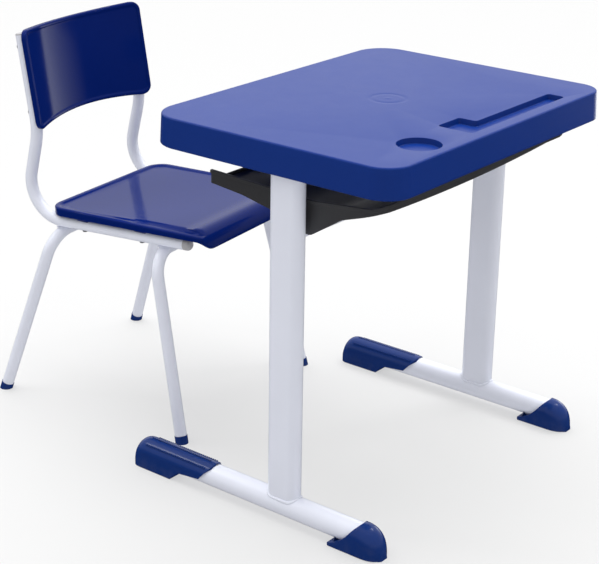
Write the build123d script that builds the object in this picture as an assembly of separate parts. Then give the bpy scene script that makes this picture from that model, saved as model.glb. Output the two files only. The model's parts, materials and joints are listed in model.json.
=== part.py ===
from build123d import *
import os
from math import atan2, cos, degrees, radians, sin, sqrt

# School desk with its chair, in millimetres.
# Desk: x runs across the desk, y from its far edge towards the chair, z up from the floor,
# with x = y = 0 under the middle of the desk top. The last section moves the whole set so
# that its origin is the bottom centre of its bounding box.

# ---- desk top: an injection-moulded shell, open below ----
TOP_WIDTH = 600.0
TOP_DEPTH = 458.0
TOP_HEIGHT = 616.0
TOP_EDGE = 47.0  # depth of the skirt round the edge
TOP_DRAFT = 2.4  # the skirt leans outwards by this much from top to bottom
TOP_CORNER_FAR, TOP_CORNER_NEAR = 42.0, 56.0  # at the far edge and at the edge towards the chair
TOP_ROUND = 4.0
TOP_WALL = 4.0
RIB_WALL = 2.6
RIB_DEPTH = 10.0
RIB_PITCH = 66.0

CUP_X, CUP_Y = -167.0, -180.0
CUP_RADIUS = 34.0
CUP_DEPTH = 8.5
PEN_DEPTH = 8.5
PEN_FRONT, PEN_REAR = -207.0, -177.0  # the long channel for pens
PEN_RIGHT, PEN_LEFT = -70.0, 203.0
ERASER_LEFT, ERASER_REAR = -11.0, -146.5  # the short leg of the L
RECESS_FLOOR = 3.0

# ---- steel frame of the desk ----
SIDE_X = 279.0  # columns, foot rails and upper arms stand at plus and minus this
COLUMN_Y = -31.5
COLUMN_LONG, COLUMN_SHORT, COLUMN_WALL = 58.0, 29.0, 1.5
RAIL_RADIUS, RAIL_WALL = 19.05, 1.5
RAIL_Z = 28.0
RAIL_FRONT, RAIL_REAR = -190.0, 236.0
ARM_RADIUS, ARM_WALL = 15.9, 1.5
ARM_Z = TOP_HEIGHT - TOP_WALL - RIB_DEPTH - ARM_RADIUS
ARM_REAR, ARM_FRONT, ARM_BEND = 178.0, -176.0, 62.0
BAR_Z = 478.0
SCREW_YS = (-115.0, 35.0, 160.0)
SCREW_RADIUS, SCREW_HEAD, SCREW_HEAD_HEIGHT = 3.0, 5.5, 4.0
INSERT_RADIUS, INSERT_LENGTH = 4.5, 9.0

# ---- shoes on the foot rails ----
SHOE_RADIUS = 21.8
SHOE_REAR, SHOE_FRONT = 272.5, -224.0
RIGHT_SLIP, LEFT_SLIP = 4.0, -11.0  # how far each rear shoe sits from its nominal place on the rail
SHOE_RIVET_YS = (-170.0, 215.0)
SHOE_RIVET_Z = 4.0  # how deep their heads are sunk into the soles

# ---- book tray ----
TRAY_HALF = 257.0
TRAY_WALL = 3.0
TRAY_CORNER = 20.0  # round the two corners at the far end, in plan
TRAY_REAR, TRAY_FRONT = 136.0, -184.0
TRAY_LIP = 27.0  # height of the low rear edge above the crossbar
TRAY_RIM_DEPTH, TRAY_RIM_OUT = 5.0, 2.5
TRAY_EAR, TRAY_RIB = 21.0, 8.0  # how far the ends and the ribs reach down past the crossbar's top
# (y, height above the crossbar) along the underside of the floor and along the side rims
TRAY_FLOOR = ((-184, 39), (-130, 27), (-92, 15), (-62, 0), (10, 0), (76, 13), (136, 19))
TRAY_RIM = ((-184, 52), (-168, 44), (-60, 34), (20, 37), (136, 41))
TRAY_RIVET_XS = (-200.0, -70.0, 70.0, 200.0)

# ---- chair, in its own frame: x across, y from the sitter's knees to the back, z up ----
CHAIR_X, CHAIR_Y, CHAIR_TURN = -16.5, 486.3, 6.27  # where it stands behind the desk, and its turn
TUBE_RADIUS, TUBE_WALL = 10.35, 1.9
FRAME_X = 145.0  # middle of each side frame
STILE_TOP = (164.3, 654.0)  # (y, z) of the side frame's corners
KNEE = (137.6, 488.0)
HEEL = (176.5, 328.5)
SEAT_RAIL_END = (-175.0, 343.0)
KNEE_BEND, HEEL_BEND = 130.0, 64.0
FOOT_X, FOOT_Y = 195.4, 199.3
LEG_TOP_X, LEG_BEND = 168.0, 46.0
LEG_LIFT = 2.7  # the bends nestle this much higher under the seat rails than a straight tube
REAR_LEG_Y, FRONT_LEG_Y = 92.0, -128.0  # where the leg frames cross under the seat rails
CAP_RADIUS, CAP_HEIGHT = 11.2, 6.5

SEAT_HALF = 159.5
SEAT_REAR, SEAT_CREST = 113.0, -196.0
SEAT_ABOVE_RAIL = 27.5
SEAT_NOSE, SEAT_NOSE_SWEEP = 32.0, 85.0
SEAT_SKIN, SEAT_SKIRT, SEAT_DISH = 4.5, 15.0, 2.5
SEAT_RIM = 9.0
SEAT_CORNER = 34.0
SEAT_RIVET_YS = (40.0, -85.0)

BACK_HALF = 159.5
BACK_HEIGHT = 176.0
BACK_BEND = 430.0
BACK_SKIN, BACK_LIP = 4.5, 5.0
BACK_LIP_WALL = 3.0
BACK_ARCH = 14.0
BACK_CORNER_LOW, BACK_CORNER_HIGH = 20.0, 17.0
BACK_RIVET_ZS = (34.0, 148.0)  # up the stile from the knee

RIVET_RADIUS, RIVET_HEAD, RIVET_DOME = 2.4, 4.8, 1.8
WELD = 3.0


# ---- shapes used in several places ----
def rod(start, end, radius):
    """A round bar between two points."""
    start, end = Vector(*start), Vector(*end)
    section = Plane(origin=start, z_dir=end - start) * Circle(radius)
    return extrude(section, amount=(end - start).length)


def pipe(path, radius, wall):
    """A round tube along a path, open at both ends."""
    section = Plane(origin=path @ 0, z_dir=path % 0)
    outer = sweep(section * Circle(radius), path)
    return outer - sweep(section * Circle(radius - wall), path)


def far_face(solid, plane):
    """The face furthest along a plane's normal."""
    return solid.faces().sort_by(lambda face: (face.center() - plane.origin).dot(plane.z_dir))[-1]


def plug(end, inwards, radius, wall, dome):
    """A domed plug in a tube's end: a stem inside, a flange and a low dome outside."""
    seat = Plane(origin=Vector(*end), z_dir=-Vector(*inwards))
    stem = extrude(seat * Circle(radius - wall), amount=-12)
    crown = extrude(seat * Circle(radius), amount=dome)
    return stem + fillet(far_face(crown, seat).edges(), min(0.8 * dome, 0.7 * radius))


def rivet(head, towards, length):
    """A blind rivet: a domed head and a shank that runs from it along towards."""
    place = Plane(origin=Vector(*head), z_dir=-Vector(*towards))
    shank = extrude(place * Circle(RIVET_RADIUS), amount=-length)
    disc = extrude(place * Circle(RIVET_HEAD), amount=RIVET_DOME)
    return shank + fillet(far_face(disc, place).edges(), RIVET_DOME * 0.8)


def side_plate(outline, x_low, x_high):
    """A plate parallel to the yz plane, from its (y, z) outline."""
    face = make_face(Polyline(*[(x_low, y, z) for y, z in outline], close=True))
    return extrude(face, amount=x_high - x_low, dir=(1, 0, 0))


def mirrored(shape):
    return mirror(shape, about=Plane.YZ)


def cut(shape, tools, both=False):
    """The shape with every tool cut out of it, and with both, their mirror images too."""
    for tool in tools:
        shape -= tool
        if both:
            shape -= mirrored(tool)
    return shape


# ---- desk top ----
def top_block(inset, z_low, z_high):
    """A slice of the desk top's outside shape, drawn in by inset on every side."""
    sections = []
    for z in (z_low, z_high):
        spread = TOP_DRAFT * (TOP_HEIGHT - z) / TOP_EDGE - inset
        outline = Rectangle(TOP_WIDTH + 2 * spread, TOP_DEPTH + 2 * spread)
        far, near = outline.vertices().group_by(Axis.Y)
        outline = fillet(far, TOP_CORNER_FAR + spread)
        near = outline.vertices().group_by(Axis.Y)[-1].filter_by(
            lambda corner: abs(corner.X) > TOP_WIDTH / 2 + spread - 1
        )
        outline = fillet(near, TOP_CORNER_NEAR + spread)
        sections.append(Pos(Z=z) * outline)
    return loft(sections)


def pen_outline(grow):
    """The L-shaped pen and eraser recess, drawn out by grow on every side."""
    corners = [
        (PEN_RIGHT - grow, PEN_FRONT - grow),
        (PEN_LEFT + grow, PEN_FRONT - grow),
        (PEN_LEFT + grow, PEN_REAR + grow),
        (ERASER_LEFT + grow, PEN_REAR + grow),
        (ERASER_LEFT + grow, ERASER_REAR + grow),
        (PEN_RIGHT - grow, ERASER_REAR + grow),
    ]
    return make_face(FilletPolyline(*corners, radius=6, close=True))


def recess(outline, depth):
    """The volume that a recess with this outline takes from the desk top."""
    return extrude(Pos(Z=TOP_HEIGHT - depth) * outline, amount=depth + 1)


def screw_places():
    return [(x, y) for x in (-SIDE_X, SIDE_X) for y in SCREW_YS]


def make_desk_top():
    z_low, panel = TOP_HEIGHT - TOP_EDGE, TOP_HEIGHT - TOP_WALL
    outside = top_block(0, z_low, TOP_HEIGHT)
    outside = fillet(outside.faces().sort_by(Axis.Z)[-1].edges(), TOP_ROUND)
    shell = outside - top_block(TOP_WALL, z_low - 1, panel)
    ribs = Part()
    columns = int(TOP_WIDTH / 2 / RIB_PITCH)
    for step in range(-columns, columns + 1):
        ribs += Pos(step * RIB_PITCH, 0, panel) * Box(RIB_WALL, TOP_DEPTH, 2 * RIB_DEPTH)
    rows = int(TOP_DEPTH / 2 / RIB_PITCH)
    for step in range(-rows, rows + 1):
        ribs += Pos(0, step * RIB_PITCH, panel) * Box(TOP_WIDTH, RIB_WALL, 2 * RIB_DEPTH)
    for x, y in screw_places():
        ribs += Pos(x, y, panel) * Cylinder(8, 2 * RIB_DEPTH)
    cup = Pos(CUP_X, CUP_Y) * Circle(CUP_RADIUS)
    cup_pad = Pos(CUP_X, CUP_Y) * Circle(CUP_RADIUS + RECESS_FLOOR)
    pads = recess(cup_pad, CUP_DEPTH + RECESS_FLOOR) + recess(pen_outline(3), PEN_DEPTH + RECESS_FLOOR)
    shell += (ribs + pads) & top_block(TOP_WALL - 0.5, panel - RIB_DEPTH, TOP_HEIGHT - 1)
    shell -= recess(cup, CUP_DEPTH) + recess(pen_outline(0), PEN_DEPTH)
    for x, y in screw_places():
        hole = Cylinder(INSERT_RADIUS, INSERT_LENGTH, align=(Align.CENTER, Align.CENTER, Align.MIN))
        shell -= Pos(x, y, panel - RIB_DEPTH) * hole
    return shell


def make_inserts():
    """Threaded brass inserts in the bosses of the desk top."""
    inserts = []
    for x, y in screw_places():
        body = Cylinder(INSERT_RADIUS, INSERT_LENGTH) - Cylinder(SCREW_RADIUS, INSERT_LENGTH)
        inserts.append(Pos(x, y, TOP_HEIGHT - TOP_WALL - RIB_DEPTH + INSERT_LENGTH / 2) * body)
    return inserts


def make_screws():
    """Hexagon-headed screws, up through the arms into the inserts."""
    screws = []
    low = ARM_Z - ARM_RADIUS
    high = TOP_HEIGHT - TOP_WALL - RIB_DEPTH + INSERT_LENGTH - 1
    for x, y in screw_places():
        head = extrude(RegularPolygon(SCREW_HEAD, 6), amount=SCREW_HEAD_HEIGHT)
        screw = Pos(x, y, low - SCREW_HEAD_HEIGHT) * head
        screws.append(screw + rod((x, y, low - 1), (x, y, high), SCREW_RADIUS))
    return screws


# ---- desk frame ----
def oblong(grow, z_low, z_high):
    """The right-hand column's outside shape, drawn out by grow."""
    section = Rot(Z=90) * SlotOverall(COLUMN_LONG + 2 * grow, COLUMN_SHORT + 2 * grow)
    return Pos(-SIDE_X, COLUMN_Y, z_low) * extrude(section, amount=z_high - z_low)


def arm_path():
    corners = [
        (-SIDE_X, ARM_REAR, ARM_Z),
        (-SIDE_X, ARM_FRONT, ARM_Z),
        (SIDE_X, ARM_FRONT, ARM_Z),
        (SIDE_X, ARM_REAR, ARM_Z),
    ]
    return FilletPolyline(*corners, radius=ARM_BEND)


def rail_rod(radius):
    return rod((-SIDE_X, RAIL_FRONT, RAIL_Z), (-SIDE_X, RAIL_REAR, RAIL_Z), radius)


def arm_rod(radius):
    return rod((-SIDE_X, -110, ARM_Z), (-SIDE_X, 110, ARM_Z), radius)


def bar_rod(radius):
    return rod((-SIDE_X, COLUMN_Y, BAR_Z), (SIDE_X, COLUMN_Y, BAR_Z), radius)


def make_upper_frame():
    """One tube bent to a C, flat under the desk top, with a hole through it at each screw."""
    frame = pipe(arm_path(), ARM_RADIUS, ARM_WALL)
    for x, y in screw_places():
        frame -= rod((x, y, ARM_Z - 20), (x, y, ARM_Z + 20), SCREW_RADIUS + 0.3)
    return frame


def make_column():
    """An oblong tube coped at the bottom over the foot rail and at the top under the arm."""
    column = oblong(0, RAIL_Z, ARM_Z) - oblong(-COLUMN_WALL, RAIL_Z - 1, ARM_Z + 1)
    return column - rail_rod(RAIL_RADIUS) - arm_rod(ARM_RADIUS)


def make_foot_rail():
    return cut(rail_rod(RAIL_RADIUS) - rail_rod(RAIL_RADIUS - RAIL_WALL), shoe_rivets(-1))


def make_crossbar():
    """The long bar between the columns, which carries the book tray."""
    bar = bar_rod(ARM_RADIUS) - bar_rod(ARM_RADIUS - ARM_WALL)
    column = oblong(0, BAR_Z - 30, BAR_Z + 30)
    return cut(bar, [column, mirrored(column), *tray_rivets()])


def make_column_welds():
    """Weld beads round both ends of a column and round the end of the crossbar."""
    collar = oblong(WELD, RAIL_Z, RAIL_Z + 40) & rail_rod(RAIL_RADIUS + WELD)
    collar -= rail_rod(RAIL_RADIUS) + oblong(0, RAIL_Z - 1, RAIL_Z + 60)
    crown = oblong(WELD, ARM_Z - 30, ARM_Z) & arm_rod(ARM_RADIUS + WELD)
    crown -= arm_rod(ARM_RADIUS) + oblong(0, ARM_Z - 60, ARM_Z + 1)
    inner_face = -SIDE_X + COLUMN_SHORT / 2
    ring = rod((inner_face - 6, COLUMN_Y, BAR_Z), (inner_face + WELD, COLUMN_Y, BAR_Z), ARM_RADIUS + WELD)
    ring -= bar_rod(ARM_RADIUS) + oblong(0, BAR_Z - 40, BAR_Z + 40)
    return [solid for bead in (collar, crown, ring) for solid in bead.solids()]


# ---- shoes ----
def shoe_blank(y_low, y_high, side_outline):
    """A shoe's outer shape: an arch over the rail, cut to its side outline and rounded in plan."""
    x_low, x_high = -SIDE_X - SHOE_RADIUS, -SIDE_X + SHOE_RADIUS
    arch = rod((-SIDE_X, y_low, RAIL_Z), (-SIDE_X, y_high, RAIL_Z), SHOE_RADIUS)
    arch += Pos(-SIDE_X, (y_low + y_high) / 2, RAIL_Z / 2) * Box(2 * SHOE_RADIUS, y_high - y_low, RAIL_Z)
    face = make_face(side_outline)
    return arch & (Pos(X=x_low) * extrude(face, amount=x_high - x_low, dir=(1, 0, 0)))


def make_rear_shoe(slip):
    """Shoe at the chair's end: a thick sole, then a half cover with a slanting front edge."""
    end = SHOE_REAR + slip
    sole_front, cover_low, cover_front, top_front = 190 + slip, 16.0, 127 + slip, 104 + slip
    top = RAIL_Z + SHOE_RADIUS
    outline = Polyline(
        (0, end - 18, top + 1),
        (0, top_front, top + 1),
        (0, cover_front, cover_low + 6),
        (0, sole_front - 18, cover_low),
        (0, sole_front, 0),
        (0, end - 5, 0),
        (0, end, 5),
    )
    outline += ThreePointArc((0, end, 5), (0, end - 4, top - 12), (0, end - 18, top + 1))
    blank = shoe_blank(top_front - 1, end, outline)
    plan = Pos(-SIDE_X, (end + 60) / 2) * RectangleRounded(2 * SHOE_RADIUS, end - 60, 12)
    blank &= extrude(plan, amount=RAIL_Z + SHOE_RADIUS)
    return cut(blank, [rail_rod(RAIL_RADIUS), *sunk_heads()])


def make_front_shoe():
    """Shoe at the far end: a rounded toe, a slanting edge behind it and a tongue under the rail."""
    tongue, top_start = -133.0, -184.0
    top = RAIL_Z + SHOE_RADIUS
    outline = Polyline(
        (0, SHOE_FRONT, 8),
        (0, SHOE_FRONT + 3, 0),
        (0, tongue, 0),
        (0, tongue - 1.5, 4),
        (0, -158, 22),
        (0, top_start, top + 1),
    )
    outline += ThreePointArc((0, top_start, top + 1), (0, -211, 40), (0, SHOE_FRONT, 8))
    blank = shoe_blank(SHOE_FRONT, tongue, outline)
    toe = Ellipse(SHOE_RADIUS, 34) & (Pos(Y=-17) * Rectangle(2 * SHOE_RADIUS, 34))
    heel = Pos(Y=35) * Rectangle(2 * SHOE_RADIUS, 70)
    plan = Pos(-SIDE_X, SHOE_FRONT + 34) * (toe + heel)
    blank &= extrude(plan, amount=RAIL_Z + SHOE_RADIUS)
    return cut(blank, [rail_rod(RAIL_RADIUS), *sunk_heads()])


def shoe_rivets(side):
    """Rivets up through the soles into the rail, their heads sunk into the soles."""
    length = RAIL_Z - RAIL_RADIUS + RAIL_WALL + 1 - SHOE_RIVET_Z
    return [rivet((side * SIDE_X, y, SHOE_RIVET_Z), (0, 0, 1), length) for y in SHOE_RIVET_YS]


def sunk_heads():
    """Pockets in the right-hand shoes' soles, up to the rivet heads, and holes for the shanks."""
    pockets = [
        rod((-SIDE_X, y, -1), (-SIDE_X, y, SHOE_RIVET_Z), RIVET_HEAD + 0.5) for y in SHOE_RIVET_YS
    ]
    return pockets + shoe_rivets(-1)


# ---- book tray ----
def tray_line(points, up):
    """Points of the tray's side view, raised by up from their place above the crossbar."""
    return [(y, BAR_Z + ARM_RADIUS + height + up) for y, height in points]


def tray_plan(inset):
    """The tray's outline from above, with its two far corners rounded, as a tall prism."""
    length = TRAY_REAR - TRAY_FRONT + 60
    outline = RectangleRounded(2 * (TRAY_HALF - inset), length, TRAY_CORNER - inset)
    return Pos(0, TRAY_FRONT + inset + length / 2, BAR_Z - 50) * extrude(outline, amount=150)


def make_tray():
    """A wide shallow tray that straddles the crossbar, open towards the sitter."""
    bar_top = BAR_Z + ARM_RADIUS
    inside = TRAY_HALF - TRAY_WALL
    outer = side_plate(tray_line(TRAY_FLOOR, 0) + tray_line(TRAY_RIM, 0)[::-1], -TRAY_HALF, TRAY_HALF)
    hollow = side_plate(
        tray_line(TRAY_FLOOR, TRAY_WALL) + tray_line(TRAY_RIM, 30)[::-1], -TRAY_HALF, TRAY_HALF
    )
    hollow -= Pos(0, TRAY_REAR, bar_top) * Box(2 * TRAY_HALF, 2 * TRAY_WALL, 2 * TRAY_LIP)
    tray = (outer & tray_plan(0)) - (hollow & tray_plan(TRAY_WALL))

    ear_low = bar_top - TRAY_EAR
    ear = [
        (20, bar_top + 3),
        (-8, ear_low),
        (-56, ear_low),
        (-84, bar_top - 3),
        (-112, bar_top + 15),
        (-150, bar_top + 27),
        (-150, bar_top + 35),
        (-60, bar_top + 25),
    ]
    low_rim, high_rim = tray_line(TRAY_RIM[1:], -TRAY_RIM_DEPTH), tray_line(TRAY_RIM[1:], 0)
    for side in (-1, 1):
        ends = sorted((side * inside, side * TRAY_HALF))
        tray += side_plate(ear, *ends)
        ends = sorted((side * inside, side * (TRAY_HALF + TRAY_RIM_OUT)))
        tray += side_plate(low_rim + high_rim[::-1], *ends)
    for y in (COLUMN_Y - ARM_RADIUS - TRAY_WALL / 2, COLUMN_Y + ARM_RADIUS + TRAY_WALL / 2):
        rib = Box(2 * inside + 2, TRAY_WALL, TRAY_RIB + 2, align=(Align.CENTER, Align.CENTER, Align.MAX))
        tray += Pos(0, y, bar_top + 2) * rib
    slot = Pos(0, COLUMN_Y, BAR_Z - 25) * Box(2 * SIDE_X, 2 * ARM_RADIUS, 50)
    return cut(tray, [bar_rod(ARM_RADIUS), slot, *tray_rivets()])


def tray_rivets():
    head = BAR_Z + ARM_RADIUS + TRAY_WALL
    return [rivet((x, COLUMN_Y, head), (0, 0, -1), TRAY_WALL + ARM_WALL + 2) for x in TRAY_RIVET_XS]


# ---- chair frame ----
def lean_of(low, high):
    """Angle from the vertical of a line in the (y, z) plane, in degrees."""
    return degrees(atan2(high[0] - low[0], high[1] - low[1]))


BACK_LEAN = lean_of(KNEE, STILE_TOP)
RAIL_SLOPE = (SEAT_RAIL_END[1] - HEEL[1]) / (SEAT_RAIL_END[0] - HEEL[0])


def rail_height(y):
    """Height of the seat rail's axis at y."""
    return SEAT_RAIL_END[1] + (y - SEAT_RAIL_END[0]) * RAIL_SLOPE


def stile_point(up, rearwards=0.0):
    """(y, z) of a point up the stile from the knee, and so far behind its axis."""
    lean = radians(BACK_LEAN)
    y = KNEE[0] + up * sin(lean) + rearwards * cos(lean)
    return y, KNEE[1] + up * cos(lean) - rearwards * sin(lean)


def side_path():
    corners = [(-FRAME_X, y, z) for y, z in (STILE_TOP, KNEE, HEEL, SEAT_RAIL_END)]
    return FilletPolyline(*corners, radius=[KNEE_BEND, HEEL_BEND])


def side_solid(radius):
    path = side_path()
    return sweep(Plane(origin=path @ 0, z_dir=path % 0) * Circle(radius), path)


def leg_path(crossing_y, foot_y, foot_z=6.0):
    crossing_z = rail_height(crossing_y) - 2 * TUBE_RADIUS + LEG_LIFT
    foot = foot_z / crossing_z  # share of the way from the floor up to the crossing
    x = FOOT_X + (LEG_TOP_X - FOOT_X) * foot
    y = foot_y + (crossing_y - foot_y) * foot
    corners = [
        (-x, y, foot_z),
        (-LEG_TOP_X, crossing_y, crossing_z),
        (LEG_TOP_X, crossing_y, crossing_z),
        (x, y, foot_z),
    ]
    return FilletPolyline(*corners, radius=LEG_BEND)


def make_leg_frame(crossing_y, foot_y):
    return pipe(leg_path(crossing_y, foot_y), TUBE_RADIUS, TUBE_WALL)


def make_foot_cap(crossing_y, foot_y):
    """A push-on cap on the right-hand leg, cut off flat at the floor."""
    path = leg_path(crossing_y, foot_y)
    foot, up = path @ 0, path % 0
    outer = rod(tuple(foot - up * 12), tuple(foot + up * CAP_HEIGHT), CAP_RADIUS)
    floor = Pos(*foot) * Pos(0, 0, -foot.Z - 25) * Box(80, 80, 50)
    return outer - floor - rod(tuple(foot), tuple(foot + up * 40), TUBE_RADIUS)


def make_side_frame():
    """Stile and seat rail in one bent tube, with its rivet holes."""
    return cut(pipe(side_path(), TUBE_RADIUS, TUBE_WALL), seat_rivets(-1) + back_rivets(-1))


def seat_rivets(side):
    rivets = []
    for y in SEAT_RIVET_YS:
        low = rail_height(y) - TUBE_RADIUS + 0.2
        rivets.append(rivet((side * FRAME_X, y, low), (0, 0, 1), 2 * TUBE_RADIUS + 8))
    return rivets


def back_rivets(side):
    rivets = []
    lean = radians(BACK_LEAN)
    for up in BACK_RIVET_ZS:
        y, z = stile_point(up, TUBE_RADIUS - 0.2)
        towards = (0, -cos(lean), sin(lean))
        rivets.append(rivet((side * FRAME_X, y, z), towards, 2 * TUBE_RADIUS + 2))
    return rivets


def make_leg_welds(crossing_y, foot_y):
    """Beads where a leg frame's bends meet the two seat rails."""
    path = leg_path(crossing_y, foot_y)
    section = Plane(origin=path @ 0, z_dir=path % 0)
    leg = sweep(section * Circle(TUBE_RADIUS), path)
    leg_grown = sweep(section * Circle(TUBE_RADIUS + WELD), path)
    rail_ends = [(-FRAME_X, y, rail_height(y)) for y in (crossing_y + 40, crossing_y - 40)]
    bead = (leg_grown & rod(*rail_ends, TUBE_RADIUS + WELD)) - leg - rod(*rail_ends, TUBE_RADIUS)
    return [solid for solid in bead.solids() if solid.volume > 5]


# ---- chair shells ----
def seat_band(drop_top, drop_low, half, inset):
    """A band that follows the seat's side profile, between two depths below its top surface."""
    slope = Vector(0, -1, -RAIL_SLOPE).normalized()
    down = Vector(0, RAIL_SLOPE, -1).normalized()
    rear = Vector(-half, SEAT_REAR + 5, rail_height(SEAT_REAR + 5) + SEAT_ABOVE_RAIL)
    crest = rear + slope * ((rear.Y - SEAT_CREST) / abs(slope.Y))
    centre = crest + down * SEAT_NOSE

    def nose(angle, drop):
        turn = radians(angle)
        return centre + (slope * sin(turn) - down * cos(turn)) * (SEAT_NOSE - drop)

    sweep_end = SEAT_NOSE_SWEEP - inset
    top_end, low_end = nose(sweep_end, drop_top), nose(sweep_end, drop_low)
    rear_top, rear_low = rear + down * drop_top, rear + down * drop_low
    edge = Polyline(low_end, top_end)
    edge += ThreePointArc(top_end, nose(sweep_end / 2, drop_top), nose(0, drop_top))
    edge += Polyline(nose(0, drop_top), rear_top, rear_low, nose(0, drop_low))
    edge += ThreePointArc(nose(0, drop_low), nose(sweep_end / 2, drop_low), low_end)
    return extrude(make_face(edge), amount=2 * half, dir=(1, 0, 0))


def seat_plan(inset):
    """The seat's outline from above, drawn in by inset, as a tall prism."""
    front = SEAT_CREST - SEAT_NOSE
    length, middle = SEAT_REAR - front, (SEAT_REAR + front) / 2
    outline = RectangleRounded(2 * (SEAT_HALF - inset), length - 2 * inset, SEAT_CORNER - inset)
    return Pos(0, middle, 250) * extrude(outline, amount=200)


def make_seat():
    """A thin moulded seat with a turned-down edge, a shallow dish and a rolled front."""
    shell = seat_band(0, SEAT_SKIRT, SEAT_HALF + 5, 0) & seat_plan(0)
    shell -= seat_band(SEAT_SKIN, SEAT_SKIRT + 6, SEAT_HALF + 5, 0) & seat_plan(BACK_LIP_WALL)
    shell -= seat_band(-2, SEAT_DISH - 0.5, SEAT_HALF + 5, 40) & seat_plan(SEAT_RIM)
    for x in (-FRAME_X, FRAME_X):
        for y in SEAT_RIVET_YS:
            pad = Pos(x, y, rail_height(y) + TUBE_RADIUS + 4) * Box(15, 26, 20)
            shell += pad & seat_band(SEAT_SKIN - 1, SEAT_SKIRT + 4, SEAT_HALF + 5, 0) & seat_plan(0)
    return cut(shell, [side_solid(TUBE_RADIUS), *seat_rivets(-1)], both=True)


def back_curve(radius_low, radius_high):
    """A curved wall, hollow side forwards, in the backrest's own upright frame."""
    depth = BACK_BEND - sqrt(BACK_BEND**2 - FRAME_X**2)
    centre = -TUBE_RADIUS + depth - BACK_BEND
    ring = Circle(radius_high) - Circle(radius_low)
    ring &= Pos(Y=radius_high) * Rectangle(2 * BACK_HALF + 20, 2 * radius_high * 0.6)
    return Pos(0, centre, -20) * extrude(ring, amount=BACK_HEIGHT + 40)


def back_outline(inset):
    """The backrest's outline from the front, with an arched lower edge, as a thick slab."""
    half, high, low = BACK_HALF - inset, BACK_HEIGHT - inset, inset
    edge = Polyline((half, low), (half, high), (-half, high), (-half, low))
    edge += ThreePointArc((-half, low), (0, low + BACK_ARCH), (half, low))
    face = make_face(edge)
    face = fillet(face.vertices().group_by(Axis.Y)[0], BACK_CORNER_LOW - inset)
    face = fillet(face.vertices().group_by(Axis.Y)[-1], BACK_CORNER_HIGH - inset)
    return extrude(Plane.XZ * face, amount=100, both=True)


def make_backrest():
    """A thin curved shell with a lip turned back round its edge."""
    shell = back_curve(BACK_BEND - BACK_SKIN, BACK_BEND + BACK_LIP) & back_outline(0)
    shell -= back_curve(BACK_BEND, BACK_BEND + BACK_LIP + 5) & back_outline(BACK_LIP_WALL)
    shell = Pos(0, KNEE[0], KNEE[1]) * Rot(X=-BACK_LEAN) * shell
    stile = rod((-FRAME_X, *stile_point(-60)), (-FRAME_X, *stile_point(220)), TUBE_RADIUS)
    return cut(shell, [stile, *back_rivets(-1)], both=True)


def rail_plug():
    return plug((-FRAME_X, *SEAT_RAIL_END), (0, 1, RAIL_SLOPE), TUBE_RADIUS, TUBE_WALL, 13)


def stile_plug():
    lean = radians(BACK_LEAN)
    return plug((-FRAME_X, *STILE_TOP), (0, -sin(lean), -cos(lean)), TUBE_RADIUS, TUBE_WALL, 3)


def arm_plug():
    return plug((-SIDE_X, ARM_REAR, ARM_Z), (0, -1, 0), ARM_RADIUS, ARM_WALL, 4)


# ---- the nodes, each a list of solids ----
def both_sides(pairs):
    """Right-hand solids and their mirror images, as two nodes each."""
    nodes = {}
    for name, solids in pairs.items():
        nodes[name + "_right"] = solids
        nodes[name + "_left"] = [mirrored(solid) for solid in solids]
    return nodes


desk = {
    "desk_top": [make_desk_top()],
    "desk_top_inserts": make_inserts(),
    "desk_top_screws": make_screws(),
    "desk_upper_frame": [make_upper_frame()],
    "desk_crossbar": [make_crossbar()],
    "desk_book_tray": [make_tray()],
    "desk_tray_rivets": tray_rivets(),
}
desk |= both_sides(
    {
        "desk_column": [make_column()],
        "desk_column_welds": make_column_welds(),
        "desk_foot_rail": [make_foot_rail()],
        "desk_front_shoe": [make_front_shoe()],
        "desk_shoe_rivets": shoe_rivets(-1),
        "desk_arm_plug": [arm_plug()],
    }
)

desk["desk_rear_shoe_right"] = [make_rear_shoe(RIGHT_SLIP)]
desk["desk_rear_shoe_left"] = [mirrored(make_rear_shoe(LEFT_SLIP))]

chair = {
    "chair_seat": [make_seat()],
    "chair_backrest": [make_backrest()],
    "chair_seat_rivets": seat_rivets(-1) + seat_rivets(1),
    "chair_backrest_rivets": back_rivets(-1) + back_rivets(1),
    "chair_rear_legs": [make_leg_frame(REAR_LEG_Y, FOOT_Y)],
    "chair_front_legs": [make_leg_frame(FRONT_LEG_Y, -FOOT_Y)],
}
chair |= both_sides(
    {
        "chair_side_frame": [make_side_frame()],
        "chair_rear_weld": make_leg_welds(REAR_LEG_Y, FOOT_Y),
        "chair_front_weld": make_leg_welds(FRONT_LEG_Y, -FOOT_Y),
        "chair_rear_foot_cap": [make_foot_cap(REAR_LEG_Y, FOOT_Y)],
        "chair_front_foot_cap": [make_foot_cap(FRONT_LEG_Y, -FOOT_Y)],
        "chair_stile_plug": [stile_plug()],
        "chair_rail_plug": [rail_plug()],
    }
)

# ---- stand the chair behind the desk, centre the set, and write one file per node ----
standing = Location((CHAIR_X, CHAIR_Y, 0), (0, 0, CHAIR_TURN))
nodes = desk | {name: [standing * solid for solid in solids] for name, solids in chair.items()}
box = Compound([solid for solids in nodes.values() for solid in solids]).bounding_box()
centring = Location((-box.center().X, -box.center().Y, -box.min.Z))
os.makedirs("parts", exist_ok=True)
for name, solids in nodes.items():
    placed = [centring * solid for solid in solids]
    export_step(Compound(placed) if len(placed) > 1 else placed[0], f"parts/{name}.step")
print("set moved by", centring.position, "size", box.size)
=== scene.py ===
import json
from math import asin, atan2, cos, pi, radians, sin, sqrt, tan

import bmesh
import bpy
import numpy as np
from mathutils import Matrix, Vector
from mathutils.geometry import delaunay_2d_cdt


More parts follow.
